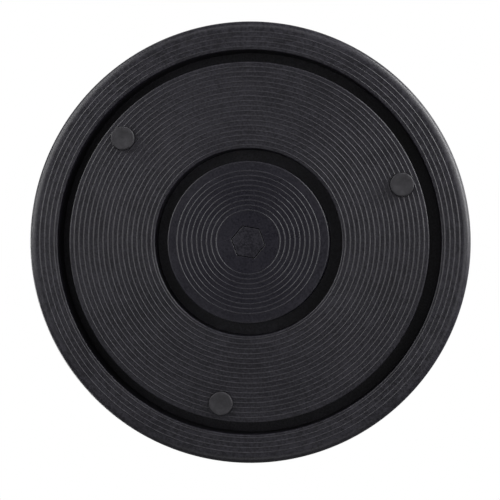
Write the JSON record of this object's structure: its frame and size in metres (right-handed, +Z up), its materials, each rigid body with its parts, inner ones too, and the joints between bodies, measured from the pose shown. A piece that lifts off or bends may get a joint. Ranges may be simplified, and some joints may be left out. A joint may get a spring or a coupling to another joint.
{
  "type": "pottery wheel",
  "caption": "Round tabletop pottery turntable: a flat wheel head with a rounded rim spins on a central ball bearing over a recessed base that stands on rubber feet.",
  "frame": {"origin": "on the axis of rotation, in the plane of the table that the rubber feet stand on", "axes": "+Z up along the axis of rotation towards the work surface, +Y from the axis towards one of the feet, +X completes the right-handed frame"},
  "size_m": [0.225, 0.225, 0.026],
  "materials": {
    "black_abs": "satin moulded black plastic with fine concentric ribs",
    "rubber": "matt black rubber",
    "spindle_nylon": "satin black nylon",
    "cage_nylon": "natural nylon",
    "bearing_steel": "ground and polished bearing steel",
    "zinc_steel": "bright zinc plate"
  },
  "bodies": {
    "base": {"base_disc": "black_abs", "foot_1": "rubber", "foot_2": "rubber", "foot_3": "rubber", "spindle": "spindle_nylon", "bearing_inner_ring": "bearing_steel", "flat_washer": "zinc_steel", "spring_washer": "zinc_steel", "clamp_screw": "zinc_steel"},
    "wheel": {"wheel_head": "black_abs", "rim_ring": "black_abs", "centre_cap": "black_abs", "bearing_outer_ring": "bearing_steel", "bearing_shield_lower": "bearing_steel", "bearing_shield_upper": "bearing_steel", "bearing_cover": "zinc_steel", "cover_screw_1": "zinc_steel", "cover_screw_2": "zinc_steel", "cover_screw_3": "zinc_steel"},
    "ball_set": {"ball_cage": "cage_nylon", "ball_1": "bearing_steel", "ball_2": "bearing_steel", "ball_3": "bearing_steel", "ball_4": "bearing_steel", "ball_5": "bearing_steel", "ball_6": "bearing_steel", "ball_7": "bearing_steel", "ball_8": "bearing_steel"}
  },
  "joints": [
    {"name": "wheel_spin", "type": "hinge", "parent": "base", "child": "wheel", "pos_m": [0, 0, 0.0151], "axis": [0, 0, 1], "continuous": true},
    {"name": "cage_spin", "type": "hinge", "parent": "base", "child": "ball_set", "pos_m": [0, 0, 0.0151], "axis": [0, 0, 1], "continuous": true}
  ],
  "couplings": [
    {"joint": "cage_spin", "follows": "wheel_spin", "ratio": 0.61905}
  ]
}
